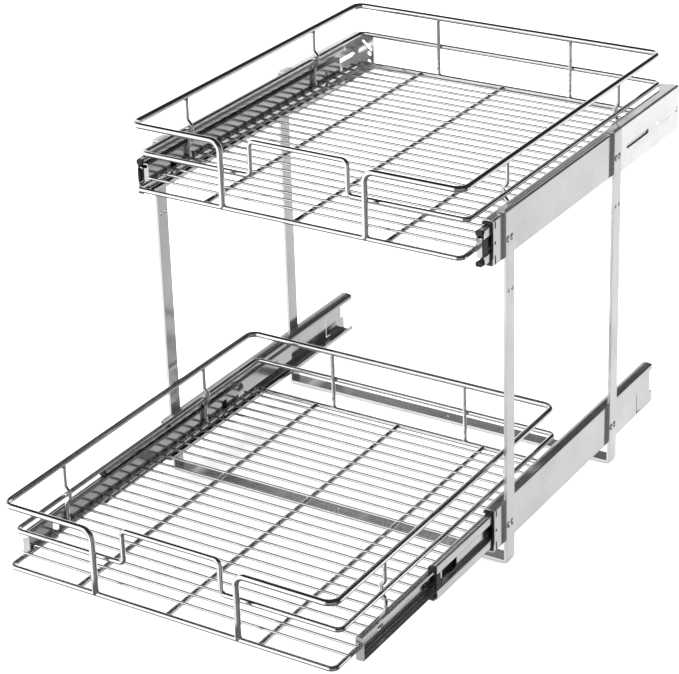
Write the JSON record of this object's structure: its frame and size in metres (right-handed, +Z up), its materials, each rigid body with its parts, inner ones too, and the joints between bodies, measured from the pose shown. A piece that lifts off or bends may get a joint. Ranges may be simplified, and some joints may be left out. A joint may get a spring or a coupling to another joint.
{
  "type": "pull out cabinet basket",
  "caption": "Two-tier chrome wire pull out cabinet basket on full-extension ball-bearing slides, upper basket closed and lower basket drawn out",
  "frame": {"origin": "on the underside of the front strap's foot, on the object's middle line, 5 mm behind the foot's middle", "axes": "+X right seen from the front, +Y back into the cabinet, +Z up"},
  "size_m": [0.3918, 0.6621, 0.4021],
  "materials": {
    "chrome_wire": "bright plated wire",
    "zinc_steel": "bright zinc-plated sheet",
    "bearing_steel": "oiled bearing steel",
    "black_plastic": "moulded black plastic"
  },
  "bodies": {
    "cabinet_frame": {"front_strap": "zinc_steel", "rear_strap": "zinc_steel", "strap_rivets": "zinc_steel", "left_rear_bracket": "zinc_steel", "right_rear_bracket": "zinc_steel", "upper_left_outer_rail": "zinc_steel", "upper_right_outer_rail": "zinc_steel", "lower_left_outer_rail": "zinc_steel", "lower_right_outer_rail": "zinc_steel", "upper_left_mouth_bumper": "black_plastic", "upper_right_mouth_bumper": "black_plastic", "lower_left_mouth_bumper": "black_plastic", "lower_right_mouth_bumper": "black_plastic"},
    "upper_basket": {"upper_left_inner_rail": "zinc_steel", "upper_right_inner_rail": "zinc_steel", "upper_top_rim": "chrome_wire", "upper_mid_rim": "chrome_wire", "upper_floor_frame": "chrome_wire", "upper_long_wires": "chrome_wire", "upper_cross_wires": "chrome_wire", "upper_side_uprights": "chrome_wire", "upper_back_uprights": "chrome_wire"},
    "upper_middle": {"upper_left_middle_rail": "zinc_steel", "upper_right_middle_rail": "zinc_steel", "upper_left_middle_bumper": "black_plastic", "upper_right_middle_bumper": "black_plastic"},
    "upper_outer_cages": {"upper_left_outer_cage": "bearing_steel", "upper_right_outer_cage": "bearing_steel", "upper_outer_balls": "bearing_steel"},
    "upper_inner_cages": {"upper_left_inner_cage": "bearing_steel", "upper_right_inner_cage": "bearing_steel", "upper_inner_balls": "bearing_steel"},
    "lower_basket": {"lower_left_inner_rail": "zinc_steel", "lower_right_inner_rail": "zinc_steel", "lower_top_rim": "chrome_wire", "lower_mid_rim": "chrome_wire", "lower_floor_frame": "chrome_wire", "lower_long_wires": "chrome_wire", "lower_cross_wires": "chrome_wire", "lower_side_uprights": "chrome_wire", "lower_back_uprights": "chrome_wire"},
    "lower_middle": {"lower_left_middle_rail": "zinc_steel", "lower_right_middle_rail": "zinc_steel", "lower_left_middle_bumper": "black_plastic", "lower_right_middle_bumper": "black_plastic"},
    "lower_outer_cages": {"lower_left_outer_cage": "bearing_steel", "lower_right_outer_cage": "bearing_steel", "lower_outer_balls": "bearing_steel"},
    "lower_inner_cages": {"lower_left_inner_cage": "bearing_steel", "lower_right_inner_cage": "bearing_steel", "lower_inner_balls": "bearing_steel"}
  },
  "joints": [
    {"name": "upper_basket_slide", "type": "slide", "parent": "cabinet_frame", "child": "upper_basket", "axis": [0, -1, 0], "range_m": [0, 0.35]},
    {"name": "upper_middle_slide", "type": "slide", "parent": "cabinet_frame", "child": "upper_middle", "axis": [0, -1, 0], "range_m": [0, 0.175]},
    {"name": "upper_outer_cages_slide", "type": "slide", "parent": "cabinet_frame", "child": "upper_outer_cages", "axis": [0, -1, 0], "range_m": [0, 0.0875]},
    {"name": "upper_inner_cages_slide", "type": "slide", "parent": "cabinet_frame", "child": "upper_inner_cages", "axis": [0, -1, 0], "range_m": [0, 0.2625]},
    {"name": "lower_basket_slide", "type": "slide", "parent": "cabinet_frame", "child": "lower_basket", "axis": [0, -1, 0], "range_m": [-0.23, 0.12]},
    {"name": "lower_middle_slide", "type": "slide", "parent": "cabinet_frame", "child": "lower_middle", "axis": [0, -1, 0], "range_m": [-0.115, 0.06]},
    {"name": "lower_outer_cages_slide", "type": "slide", "parent": "cabinet_frame", "child": "lower_outer_cages", "axis": [0, -1, 0], "range_m": [-0.0575, 0.03]},
    {"name": "lower_inner_cages_slide", "type": "slide", "parent": "cabinet_frame", "child": "lower_inner_cages", "axis": [0, -1, 0], "range_m": [-0.1725, 0.09]}
  ],
  "couplings": [
    {"joint": "upper_middle_slide", "follows": "upper_basket_slide", "ratio": 0.5},
    {"joint": "upper_outer_cages_slide", "follows": "upper_basket_slide", "ratio": 0.25},
    {"joint": "upper_inner_cages_slide", "follows": "upper_basket_slide", "ratio": 0.75},
    {"joint": "lower_middle_slide", "follows": "lower_basket_slide", "ratio": 0.5},
    {"joint": "lower_outer_cages_slide", "follows": "lower_basket_slide", "ratio": 0.25},
    {"joint": "lower_inner_cages_slide", "follows": "lower_basket_slide", "ratio": 0.75}
  ]
}
